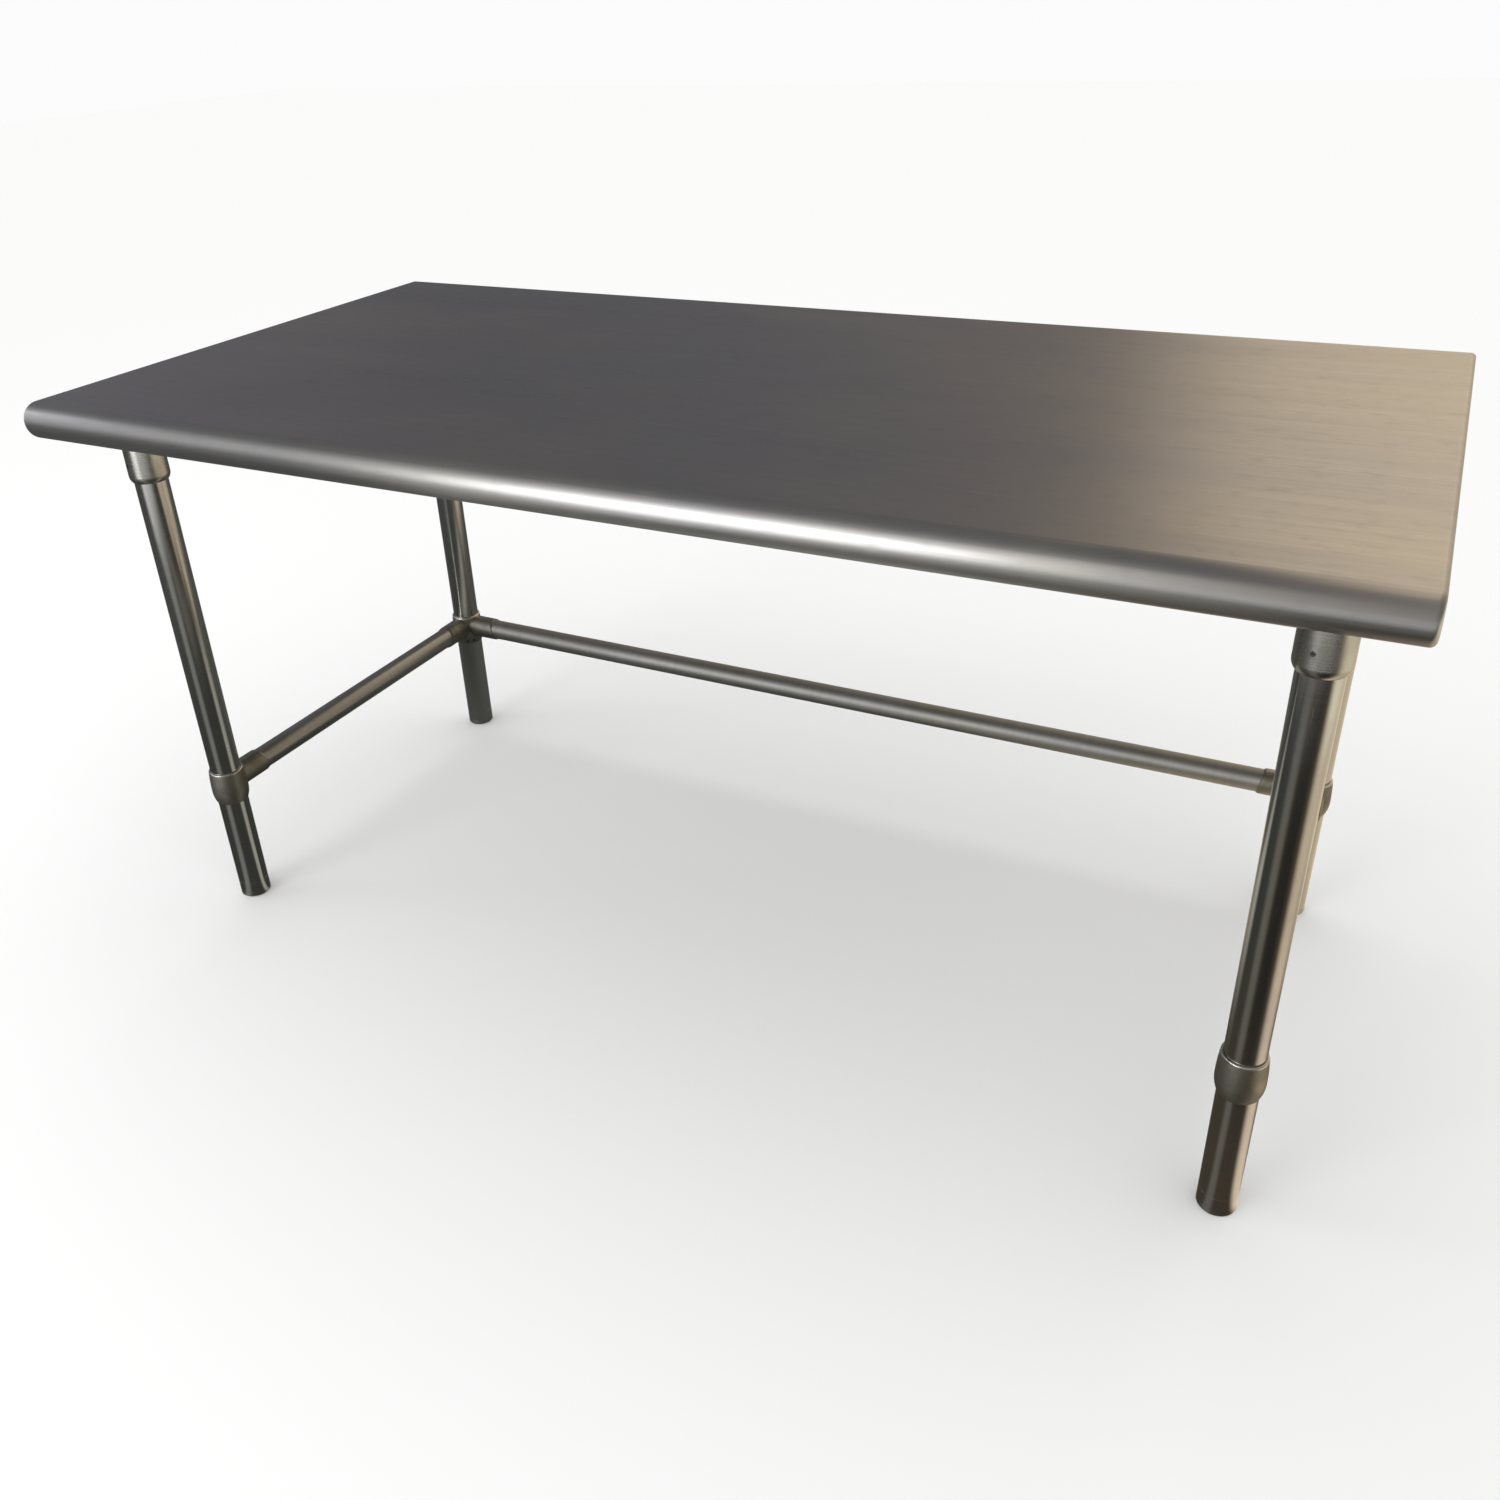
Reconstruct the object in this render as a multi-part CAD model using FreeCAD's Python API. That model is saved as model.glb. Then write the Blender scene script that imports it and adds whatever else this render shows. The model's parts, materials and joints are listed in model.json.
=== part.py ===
import FreeCAD, Part
import math
import os

# Stainless steel work table with an open base, built as its separate pieces.
# Millimetres. The origin is on the floor under the middle of the top.
# +X runs along the table to its right end, +Y to the back and +Z up.

# ---- driving dimensions ----
INCH = 25.4
TOP_LENGTH = 60 * INCH
TOP_DEPTH = 30 * INCH
TABLE_HEIGHT = 29.5 * INCH      # floor to work surface with the feet screwed right in
SHEET = 1.9                     # 14 gauge top
RIM_RADIUS = 0.875 * INCH       # outside of the rolled front and rear rims
END_BEND = 5.5                  # outside radius where the ends turn down
RETURN_LIP = 12.0               # flat lip left under each rim and each turned-down end

LEG_RADIUS = 0.8125 * INCH
LEG_WALL = 1.5
LEG_INSET_X = 3 * INCH          # table end to leg centre
LEG_INSET_Y = 3.875 * INCH      # table front to leg centre
RAIL_RADIUS = 0.625 * INCH
RAIL_WALL = 1.2
RAIL_HEIGHT = 7.5 * INCH        # floor to the centre line of all three rails
RAIL_END_GAP = 5.5              # rail end to the outside of the leg

FOOT_HEIGHT = 24.0              # visible part of an adjustable foot
FOOT_ROUND = 2.5                # rounding of its bottom edge
STEM_LENGTH = 52.0
STEM_RADIUS = 7.9
THREAD_DEPTH = 1.2
THREAD_PITCH = 2.5
INSERT_HEIGHT = 30.0
EDGE_BREAK = 0.1                # small chamfer where foot and leg meet

TAPE = 1.5                      # damping tape between channels and top
CHANNEL_CROWN = 90.0
CHANNEL_FLANGE = 20.0
CHANNEL_HEIGHT = 1.0 * INCH
CHANNEL_SHEET = 1.6
CROSS_CHANNEL_LENGTH = 676.0
CHANNEL_GAP = 4.0               # cross channel to the end of the lengthwise one
STUD_RADIUS = 3.0
STUD_LENGTH = 14.0
CROSS_STUDS = 3                 # studs along one flange of a cross channel
LONG_STUDS = 5                  # studs along one flange of the lengthwise channel
STUD_END_INSET = 40.0
NUT_ACROSS_FLATS = 10.0         # of the nuts and of the screw heads
NUT_HEIGHT = 5.5
NUT_WASHER_RADIUS = 6.5
NUT_WASHER_THICKNESS = 1.2
SCREW_HEAD_HEIGHT = 4.2
SCREW_END = 9.0                 # flange screw beyond the flange it clamps
CLINCH_NUT_RADIUS = 6.0
CLINCH_NUT_HEIGHT = 6.0
HOLE_PLAY = 0.4                 # radial play of studs and screws in their plain holes
THREAD_PLAY = 0.05              # radial play of a nut or tapped hole on its screw

SOCKET_BOTTOM = 636.0           # floor to the lower lip of a leg socket
SOCKET_RADIUS = 24.9
SOCKET_DRAFT = 0.5              # how much the barrel narrows towards its flange
SOCKET_LIP = 8.0                # height of the rounded lower lip
SOCKET_FLANGE = 84.0
SOCKET_FLANGE_THICKNESS = 5.0
SOCKET_FLANGE_CORNER = 12.0
SOCKET_FLANGE_BLEND = 4.0
SOCKET_LIP_FACE = 1.2           # flat ring left at the lower end, round the leg
SOCKET_SCREW_OFFSET = 31.0      # flange screws, from the leg's axis along X and along Y
SOCKET_SET_SCREW_ANGLE = -108.0
SOCKET_SET_SCREW_DROP = 57.0    # flange face to the set screw
LEG_PLAY = 0.3                  # radial play of a leg in its socket and fittings

COLLAR_TOP = 20.5               # collar above the rail's centre line
COLLAR_BOTTOM = 29.0            # collar below it
COLLAR_TOP_RADIUS = 23.2
COLLAR_WIDE_RADIUS = 24.9
COLLAR_WIDE_DROP = 12.0
COLLAR_BOTTOM_RADIUS = 21.6
COLLAR_RIM_ROUND = 2.0
BOSS_ROOT_RADIUS = 17.8
BOSS_ROOT_DISTANCE = 14.0       # leg axis to the root of a boss's cone
BOSS_END_RADIUS = 17.6
BOSS_LENGTH = 70.0              # leg axis to the lowest point of the boss's end
BOSS_END_SLANT = 14.0           # degrees, so that the top of the boss is shorter
BOSS_END_ROUND = 5.0
BOSS_BLEND = 0.6                # cast fillet between boss and collar
RAIL_PLAY = 0.3
RAIL_STOP_GAP = 1.0             # rail end to the bottom of its blind bore
SET_SCREW_RADIUS = 2.5
SET_SCREW_SOCKET_DEPTH = 1.0
SET_SCREW_KEY = 2.5             # hexagon key across flats
SET_SCREW_SUNK = 0.4            # screw face below the cast surface
COLLAR_SCREW_SPREAD = 13.0      # degrees each side of the inward diagonal
COLLAR_SCREW_DROP = 23.0
BOSS_SCREW_DISTANCE = 44.0
CUT_BEYOND = 6.0                # how far a cutting solid runs past the metal

# ---- derived places ----
LEG_X = TOP_LENGTH / 2 - LEG_INSET_X
LEG_Y = TOP_DEPTH / 2 - LEG_INSET_Y
RIM_CENTRE_Y = TOP_DEPTH / 2 - RIM_RADIUS
RIM_CENTRE_Z = TABLE_HEIGHT - RIM_RADIUS
SHEET_UNDERSIDE = TABLE_HEIGHT - SHEET
CHANNEL_TOP = SHEET_UNDERSIDE - TAPE
CROWN_FACE = CHANNEL_TOP - CHANNEL_HEIGHT
RAIL_END = LEG_RADIUS + RAIL_END_GAP
CORNERS = {
    "front_left": (-1, -1),
    "front_right": (1, -1),
    "rear_left": (-1, 1),
    "rear_right": (1, 1),
}
X_AXIS = FreeCAD.Vector(1, 0, 0)
Y_AXIS = FreeCAD.Vector(0, 1, 0)
Z_AXIS = FreeCAD.Vector(0, 0, 1)


def vec(x, y, z):
    return FreeCAD.Vector(x, y, z)


def save(name, shape):
    """Write one node to its own file, after checking it."""
    if not shape.isValid():
        raise ValueError(name + " is not a valid shape")
    shape.exportStep(os.path.join("parts", name + ".step"))
    print(name, "solids", len(shape.Solids), "volume_cm3", round(shape.Volume / 1000, 2))


def save_group(name, solids):
    save(name, Part.makeCompound(solids))


def box_about(size, centre):
    """A box of the given size about its centre."""
    low = centre - size * 0.5
    return Part.makeBox(size.x, size.y, size.z, low)


def cylinder_along(radius, length, base, direction):
    return Part.makeCylinder(radius, length, base, direction)


def arc_about(start, end, centre):
    """The shorter arc from start to end about a centre."""
    middle = (start - centre) + (end - centre)
    middle.normalize()
    return Part.Arc(start, centre + middle * (start - centre).Length, end).toShape()


def arc_to_wall(start, end):
    """The arc in the XZ plane from start that is upright where it reaches end."""
    across = end.x - start.x
    rise = end.z - start.z
    radius = (across ** 2 + rise ** 2) / (2 * across)
    return arc_about(start, end, vec(end.x - radius, 0, end.z))


def revolve_z(points):
    """Turn an outline of (radius, height) points about the Z axis."""
    wire = Part.makePolygon([vec(r, 0, z) for r, z in points + points[:1]])
    return Part.Face(wire).revolve(vec(0, 0, 0), Z_AXIS, 360)


def hexagon(across_flats, height, base, direction):
    """A hexagonal prism standing on base."""
    corner = across_flats / 2 / math.cos(math.radians(30))
    ring = [math.radians(60 * step) for step in range(7)]
    wire = Part.makePolygon([vec(corner * math.cos(a), corner * math.sin(a), 0) for a in ring])
    prism = Part.Face(wire).extrude(vec(0, 0, height))
    prism.Placement = FreeCAD.Placement(base, FreeCAD.Rotation(Z_AXIS, direction))
    return prism


def corner_place(sign_x, sign_y, z=0.0):
    return vec(sign_x * LEG_X, sign_y * LEG_Y, z)


def in_plane(angle_degrees):
    """Horizontal direction at an angle from +X."""
    angle = math.radians(angle_degrees)
    return vec(math.cos(angle), math.sin(angle), 0)


# ---- worktop ----
def stadium_prism(inset):
    """The worktop's cross-section, inset all round, run along X and rounded at its ends."""
    radius = RIM_RADIUS - inset
    half_length = TOP_LENGTH / 2 - inset
    top_rear = vec(-half_length, RIM_CENTRE_Y, RIM_CENTRE_Z + radius)
    rear = vec(-half_length, RIM_CENTRE_Y + radius, RIM_CENTRE_Z)
    bottom_rear = vec(-half_length, RIM_CENTRE_Y, RIM_CENTRE_Z - radius)
    bottom_front = vec(-half_length, -RIM_CENTRE_Y, RIM_CENTRE_Z - radius)
    front = vec(-half_length, -RIM_CENTRE_Y - radius, RIM_CENTRE_Z)
    top_front = vec(-half_length, -RIM_CENTRE_Y, RIM_CENTRE_Z + radius)
    edges = [
        Part.Arc(top_rear, rear, bottom_rear).toShape(),
        Part.makeLine(bottom_rear, bottom_front),
        Part.Arc(bottom_front, front, top_front).toShape(),
        Part.makeLine(top_front, top_rear),
    ]
    prism = Part.Face(Part.Wire(edges)).extrude(vec(2 * half_length, 0, 0))
    end_edges = [edge for edge in prism.Edges if edge.BoundBox.XLength < 0.01]
    return prism.makeFillet(END_BEND - inset, end_edges)


def worktop():
    """Flat sheet rolled under along front and rear, and turned down at both ends."""
    shell = stadium_prism(0).cut(stadium_prism(SHEET))
    open_x = TOP_LENGTH - 2 * (SHEET + RETURN_LIP)
    open_y = 2 * (RIM_CENTRE_Y - RETURN_LIP)
    lip_z = TABLE_HEIGHT - 2 * RIM_RADIUS
    opening = box_about(vec(open_x, open_y, 4 * SHEET), vec(0, 0, lip_z))
    corners = [edge for edge in opening.Edges if edge.BoundBox.ZLength > SHEET]
    return shell.cut(opening.makeFillet(RETURN_LIP / 2, corners))


# ---- channels under the top, with their tape, studs and nuts ----
def spread(length, count):
    """Evenly spaced stations along a channel."""
    reach = length / 2 - STUD_END_INSET
    return [reach * (2 * step / (count - 1) - 1) for step in range(count)]


def stud_places(length, count):
    """Stud centres in a channel's own frame, where it runs along X."""
    offset = (CHANNEL_CROWN + CHANNEL_FLANGE) / 2
    return [vec(x, side * offset, 0) for x in spread(length, count) for side in (-1, 1)]


def hat_channel(length, count, screw_places):
    """A hat section along X with its open side up, and round-nosed bends."""
    half_crown = CHANNEL_CROWN / 2
    reach = half_crown + CHANNEL_FLANGE
    low = CROWN_FACE
    high = CHANNEL_TOP
    t = CHANNEL_SHEET
    right = [
        (reach, high), (reach, high - t), (half_crown, high - t), (half_crown, low),
    ]
    inside = [
        (half_crown - t, low + t), (half_crown - t, high),
    ]
    outline = right + [(-y, z) for y, z in reversed(right)]
    outline += [(-y, z) for y, z in reversed(inside)] + inside
    wire = Part.makePolygon([vec(-length / 2, y, z) for y, z in outline + outline[:1]])
    body = Part.Face(wire).extrude(vec(length, 0, 0))
    outer_bends = [
        edge for edge in body.Edges
        if edge.BoundBox.XLength > length / 2
        and abs(abs(edge.CenterOfMass.y) - half_crown) < t / 2
        and edge.CenterOfMass.z < low + t / 2
    ]
    body = body.makeFillet(2 * t, outer_bends)
    drill = [
        cylinder_along(STUD_RADIUS + HOLE_PLAY, 3 * t, place + vec(0, 0, high - 2 * t), Z_AXIS)
        for place in stud_places(length, count)
    ]
    drill += [
        cylinder_along(STUD_RADIUS + HOLE_PLAY, 3 * t, place + vec(0, 0, low - t), Z_AXIS)
        for place in screw_places
    ]
    return body.cut(Part.makeCompound(drill))


def tape_strips(length, count):
    """Two strips of damping tape, one on each flange of a channel."""
    offset = (CHANNEL_CROWN + CHANNEL_FLANGE) / 2
    size = vec(length, CHANNEL_FLANGE - 2, TAPE)
    low = vec(0, 0, CHANNEL_TOP - TAPE)
    holes = Part.makeCompound([
        cylinder_along(STUD_RADIUS + HOLE_PLAY, 3 * TAPE, place + low, Z_AXIS)
        for place in stud_places(length, count)
    ])
    return [
        box_about(size, vec(0, side * offset, CHANNEL_TOP + TAPE / 2)).cut(holes)
        for side in (-1, 1)
    ]


def weld_stud(place):
    base = place + vec(0, 0, SHEET_UNDERSIDE)
    return cylinder_along(STUD_RADIUS, STUD_LENGTH, base, Z_AXIS * -1)


def flange_nut(place):
    """A hexagon nut with a round flange, up against a channel's flange."""
    face = CHANNEL_TOP - CHANNEL_SHEET
    base = place + vec(0, 0, face)
    down = Z_AXIS * -1
    washer = cylinder_along(NUT_WASHER_RADIUS, NUT_WASHER_THICKNESS, base, down)
    body = washer.fuse(hexagon(NUT_ACROSS_FLATS, NUT_HEIGHT, base, down))
    start = base - down * CUT_BEYOND
    bore = cylinder_along(STUD_RADIUS + THREAD_PLAY, NUT_HEIGHT + 2 * CUT_BEYOND, start, down)
    return body.cut(bore).removeSplitter()


def channel_layout():
    """Name, length, stud count, turn about Z and place of the three channels."""
    inner_reach = LEG_X - CHANNEL_CROWN / 2 - CHANNEL_FLANGE - CHANNEL_GAP
    return [
        ("cross_channel_left", CROSS_CHANNEL_LENGTH, CROSS_STUDS, 90, vec(-LEG_X, 0, 0)),
        ("cross_channel_right", CROSS_CHANNEL_LENGTH, CROSS_STUDS, 90, vec(LEG_X, 0, 0)),
        ("long_channel", 2 * inner_reach, LONG_STUDS, 0, vec(0, 0, 0)),
    ]


def socket_screw_places():
    """Flange screws about a leg's axis."""
    offset = SOCKET_SCREW_OFFSET
    return [vec(x * offset, y * offset, 0) for x in (-1, 1) for y in (-1, 1)]


def build_channels():
    studs = []
    nuts = []
    for name, length, count, turn, place in channel_layout():
        placement = FreeCAD.Placement(place, FreeCAD.Rotation(Z_AXIS, turn))
        screws = []
        if turn:
            screws = [
                spot + vec(end * LEG_Y, 0, 0) for end in (-1, 1) for spot in socket_screw_places()
            ]
        channel = hat_channel(length, count, screws)
        channel.Placement = placement
        save(name, channel)
        strips = tape_strips(length, count)
        for strip in strips:
            strip.Placement = placement
        save_group(name.replace("channel", "tape"), strips)
        for spot in stud_places(length, count):
            world = placement.multVec(spot)
            studs.append(weld_stud(world))
            nuts.append(flange_nut(world))
    save_group("channel_studs", studs)
    save_group("channel_nuts", nuts)


# ---- set screws and their holes ----
def set_screw(mouth, inward, length):
    """A headless screw with a hexagon socket, its outer face at mouth."""
    body = cylinder_along(SET_SCREW_RADIUS, length, mouth, inward)
    key = hexagon(SET_SCREW_KEY, SET_SCREW_SOCKET_DEPTH, mouth, inward)
    return body.cut(key)


def set_screw_hole(mouth, inward, length):
    start = mouth - inward * CUT_BEYOND
    return cylinder_along(SET_SCREW_RADIUS + THREAD_PLAY, length + CUT_BEYOND, start, inward)


# ---- leg sockets ----
def socket_set_screw_place(sign_x, sign_y):
    """Mouth, inward direction and length of the screw that holds a leg in its socket."""
    outward = in_plane(SOCKET_SET_SCREW_ANGLE)
    z = CROWN_FACE - SOCKET_FLANGE_THICKNESS - SOCKET_SET_SCREW_DROP
    mouth = corner_place(sign_x, sign_y, z) + outward * (SOCKET_RADIUS - SET_SCREW_SUNK)
    length = SOCKET_RADIUS - SET_SCREW_SUNK - LEG_RADIUS - THREAD_PLAY
    return mouth, outward * -1, length


def socket_barrel():
    """The turned barrel of a socket, rounded at its lower lip and spread into its flange."""
    bore = LEG_RADIUS + LEG_PLAY
    flange_face = CROWN_FACE - SOCKET_FLANGE_THICKNESS
    neck = SOCKET_RADIUS - SOCKET_DRAFT
    blend = SOCKET_FLANGE_BLEND
    bore_low = vec(bore, 0, SOCKET_BOTTOM)
    bore_high = vec(bore, 0, CROWN_FACE)
    lip_inside = vec(bore + SOCKET_LIP_FACE, 0, SOCKET_BOTTOM)
    lip_outside = vec(SOCKET_RADIUS, 0, SOCKET_BOTTOM + SOCKET_LIP)
    blend_low = vec(neck, 0, flange_face - blend)
    blend_high = vec(neck + blend, 0, flange_face)
    shoulder = vec(neck + blend, 0, CROWN_FACE)
    edges = [
        Part.makeLine(bore_low, lip_inside),
        arc_to_wall(lip_inside, lip_outside),
        Part.makeLine(lip_outside, blend_low),
        arc_about(blend_low, blend_high, vec(neck + blend, 0, flange_face - blend)),
        Part.makeLine(blend_high, shoulder),
        Part.makeLine(shoulder, bore_high),
        Part.makeLine(bore_high, bore_low),
    ]
    return Part.Face(Part.Wire(edges)).revolve(vec(0, 0, 0), Z_AXIS, 360)


def socket_flange():
    """The square flange with its round corners, its bore and its four screw holes."""
    thickness = SOCKET_FLANGE_THICKNESS
    size = vec(SOCKET_FLANGE, SOCKET_FLANGE, thickness)
    plate = box_about(size, vec(0, 0, CROWN_FACE - thickness / 2))
    corners = [edge for edge in plate.Edges if edge.BoundBox.ZLength > thickness / 2]
    plate = plate.makeFillet(SOCKET_FLANGE_CORNER, corners)
    start = vec(0, 0, CROWN_FACE - thickness - CUT_BEYOND)
    through = thickness + 2 * CUT_BEYOND
    holes = [cylinder_along(LEG_RADIUS + LEG_PLAY, through, start, Z_AXIS)]
    for spot in socket_screw_places():
        holes.append(cylinder_along(STUD_RADIUS + HOLE_PLAY, through, spot + start, Z_AXIS))
    return plate.cut(Part.makeCompound(holes))


def leg_socket(sign_x, sign_y):
    socket = socket_barrel().fuse(socket_flange()).removeSplitter()
    socket.translate(corner_place(sign_x, sign_y))
    mouth, inward, length = socket_set_screw_place(sign_x, sign_y)
    return socket.cut(set_screw_hole(mouth, inward, length))


def socket_screw(place):
    """A hexagon-headed screw up through a socket's flange into its nut."""
    face = CROWN_FACE - SOCKET_FLANGE_THICKNESS
    base = place + vec(0, 0, face)
    head = hexagon(NUT_ACROSS_FLATS, SCREW_HEAD_HEIGHT, base, Z_AXIS * -1)
    shank = cylinder_along(STUD_RADIUS, SOCKET_FLANGE_THICKNESS + SCREW_END, base, Z_AXIS)
    return head.fuse(shank)


def clinch_nut(place):
    """A round nut pressed into the channel's crown, inside the channel."""
    base = place + vec(0, 0, CROWN_FACE + CHANNEL_SHEET)
    body = cylinder_along(CLINCH_NUT_RADIUS, CLINCH_NUT_HEIGHT, base, Z_AXIS)
    start = base - Z_AXIS * CUT_BEYOND
    length = CLINCH_NUT_HEIGHT + 2 * CUT_BEYOND
    return body.cut(cylinder_along(STUD_RADIUS + THREAD_PLAY, length, start, Z_AXIS))


def build_sockets():
    flange_screws = []
    nuts = []
    set_screws = []
    for corner, (sign_x, sign_y) in CORNERS.items():
        save("leg_socket_" + corner, leg_socket(sign_x, sign_y))
        set_screws.append(set_screw(*socket_set_screw_place(sign_x, sign_y)))
        for spot in socket_screw_places():
            world = corner_place(sign_x, sign_y) + spot
            flange_screws.append(socket_screw(world))
            nuts.append(clinch_nut(world))
    save_group("socket_screws", flange_screws)
    save_group("clinch_nuts", nuts)
    save_group("socket_set_screws", set_screws)


# ---- legs and feet ----
def leg_tube(sign_x, sign_y):
    """A leg from the top of its foot up into its socket."""
    length = CROWN_FACE - LEG_PLAY - FOOT_HEIGHT
    base = corner_place(sign_x, sign_y, FOOT_HEIGHT)
    outside = cylinder_along(LEG_RADIUS, length, base, Z_AXIS)
    start = base - Z_AXIS * CUT_BEYOND
    inside = cylinder_along(LEG_RADIUS - LEG_WALL, length + 2 * CUT_BEYOND, start, Z_AXIS)
    tube = outside.cut(inside)
    lower_edge = [
        edge for edge in tube.Edges
        if abs(edge.CenterOfMass.z - FOOT_HEIGHT) < 0.01
        and edge.BoundBox.XLength > 2 * LEG_RADIUS - LEG_WALL
    ]
    return tube.makeChamfer(EDGE_BREAK, lower_edge)


def foot_insert(sign_x, sign_y):
    """The plug in a leg's lower end that the foot's stem screws into."""
    base = corner_place(sign_x, sign_y, FOOT_HEIGHT)
    plug = cylinder_along(LEG_RADIUS - LEG_WALL - THREAD_PLAY, INSERT_HEIGHT, base, Z_AXIS)
    start = base - Z_AXIS * CUT_BEYOND
    length = INSERT_HEIGHT + 2 * CUT_BEYOND
    return plug.cut(cylinder_along(STEM_RADIUS + HOLE_PLAY, length, start, Z_AXIS))


def threaded_stem():
    """The stem with its thread drawn as rings of the thread's pitch and depth."""
    root = STEM_RADIUS - THREAD_DEPTH
    flank = 0.4 * THREAD_PITCH
    rings = int((STEM_LENGTH - THREAD_PITCH) / THREAD_PITCH)
    outline = [(0, FOOT_HEIGHT - EDGE_BREAK), (root, FOOT_HEIGHT - EDGE_BREAK)]
    z = FOOT_HEIGHT + THREAD_PITCH / 2
    for _ in range(rings):
        outline.append((root, z))
        outline.append((STEM_RADIUS, z + flank))
        outline.append((STEM_RADIUS, z + THREAD_PITCH - flank))
        z += THREAD_PITCH
    outline.append((root, z))
    outline.append((root - THREAD_DEPTH, z + THREAD_DEPTH))
    outline.append((0, z + THREAD_DEPTH))
    return revolve_z(outline)


def foot(sign_x, sign_y):
    """An adjustable foot as wide as its leg, with a rounded lower edge and a threaded stem."""
    body = cylinder_along(LEG_RADIUS, FOOT_HEIGHT, vec(0, 0, 0), Z_AXIS)
    bottom = [edge for edge in body.Edges if edge.BoundBox.ZMax < 0.01]
    body = body.makeFillet(FOOT_ROUND, bottom)
    top = [
        edge for edge in body.Edges
        if edge.BoundBox.ZMin > FOOT_HEIGHT - 0.01 and edge.BoundBox.ZMax < FOOT_HEIGHT + 0.01
    ]
    body = body.makeChamfer(EDGE_BREAK, top)
    shape = body.fuse(threaded_stem()).removeSplitter()
    shape.translate(corner_place(sign_x, sign_y))
    return shape


# ---- rail fittings and rails ----
def collar():
    """The cast sleeve about a leg, widest at its middle and drawn in towards both ends."""
    rim = COLLAR_RIM_ROUND
    inner = LEG_RADIUS - LEG_WALL
    inner_high = vec(inner, 0, COLLAR_TOP)
    inner_low = vec(inner, 0, -COLLAR_BOTTOM)
    rim_in = vec(COLLAR_TOP_RADIUS - rim, 0, COLLAR_TOP)
    rim_out = vec(COLLAR_TOP_RADIUS, 0, COLLAR_TOP - rim)
    widest = vec(COLLAR_WIDE_RADIUS, 0, -COLLAR_WIDE_DROP)
    lower = vec(COLLAR_BOTTOM_RADIUS, 0, -COLLAR_BOTTOM)
    edges = [
        Part.makeLine(inner_high, rim_in),
        arc_about(rim_in, rim_out, vec(rim_in.x, 0, rim_out.z)),
        arc_to_wall(rim_out, widest),
        arc_to_wall(lower, widest),
        Part.makeLine(lower, inner_low),
        Part.makeLine(inner_low, inner_high),
    ]
    return Part.Face(Part.Wire(edges)).revolve(vec(0, 0, 0), Z_AXIS, 360)


def boss_radius(distance):
    """Outside radius of a boss's cone at a distance from the leg's axis."""
    taper = (BOSS_ROOT_RADIUS - BOSS_END_RADIUS) / (BOSS_LENGTH - BOSS_ROOT_DISTANCE)
    return BOSS_ROOT_RADIUS - taper * (distance - BOSS_ROOT_DISTANCE)


def boss(direction):
    """The cast bell that takes a rail's end, with a slanted, rounded mouth."""
    far = BOSS_LENGTH + 2 * CUT_BEYOND
    root = vec(BOSS_ROOT_DISTANCE, 0, 0)
    length = far - BOSS_ROOT_DISTANCE
    cone = Part.makeCone(BOSS_ROOT_RADIUS, boss_radius(far), length, root, X_AXIS)
    side = 4 * BOSS_ROOT_RADIUS
    knife = Part.makeBox(side, side, 2 * side, vec(0, -side / 2, -side))
    slant = FreeCAD.Rotation(Y_AXIS, -BOSS_END_SLANT)
    knife.Placement = FreeCAD.Placement(vec(BOSS_LENGTH, 0, -BOSS_END_RADIUS), slant)
    bell = cone.cut(knife)
    mouth = [
        edge for edge in bell.Edges
        if edge.BoundBox.XMin > BOSS_LENGTH / 2 and edge.BoundBox.YLength > BOSS_END_RADIUS
    ]
    bell = bell.makeFillet(BOSS_END_ROUND, mouth)
    bell.Placement = FreeCAD.Placement(vec(0, 0, 0), FreeCAD.Rotation(X_AXIS, direction))
    return bell


def collar_radius(drop):
    """Outside radius of a collar at a drop below its rail's centre line, under its widest line."""
    across = COLLAR_WIDE_RADIUS - COLLAR_BOTTOM_RADIUS
    rise = COLLAR_BOTTOM - COLLAR_WIDE_DROP
    bend = (across ** 2 + rise ** 2) / (2 * across)
    below = drop - COLLAR_WIDE_DROP
    return COLLAR_WIDE_RADIUS - bend + math.sqrt(bend ** 2 - below ** 2)


def fitting_set_screw_places(sign_x, sign_y):
    """Mouth, inward direction and length of each set screw in one fitting."""
    centre = corner_place(sign_x, sign_y, RAIL_HEIGHT)
    diagonal = math.degrees(math.atan2(-sign_y, -sign_x))
    places = []
    wall = collar_radius(COLLAR_SCREW_DROP + SET_SCREW_RADIUS) - SET_SCREW_SUNK
    for side in (-1, 1):
        outward = in_plane(diagonal + side * COLLAR_SCREW_SPREAD)
        mouth = centre - vec(0, 0, COLLAR_SCREW_DROP) + outward * wall
        places.append((mouth, outward * -1, wall - LEG_RADIUS - THREAD_PLAY))
    boss_wall = boss_radius(BOSS_SCREW_DISTANCE) - SET_SCREW_SUNK
    for direction in rail_directions(sign_x, sign_y):
        mouth = centre + direction * BOSS_SCREW_DISTANCE - Z_AXIS * boss_wall
        places.append((mouth, Z_AXIS, boss_wall - RAIL_RADIUS - THREAD_PLAY))
    return places


def rail_directions(sign_x, sign_y):
    """Side rails run front to back at every leg; the rear rail joins the two rear legs."""
    directions = [vec(0, -sign_y, 0)]
    if sign_y > 0:
        directions.append(vec(-sign_x, 0, 0))
    return directions


def blend_bosses(body):
    """Round the inside corners where a boss leaves the collar."""
    joints = []
    for edge in body.Edges:
        middle = edge.CenterOfMass
        reach = math.hypot(middle.x, middle.y)
        curved = not isinstance(edge.Curve, (Part.Line, Part.Circle))
        if curved and LEG_RADIUS < reach < BOSS_LENGTH / 2:
            joints.append(edge)
    return body.makeFillet(BOSS_BLEND, joints)


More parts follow.
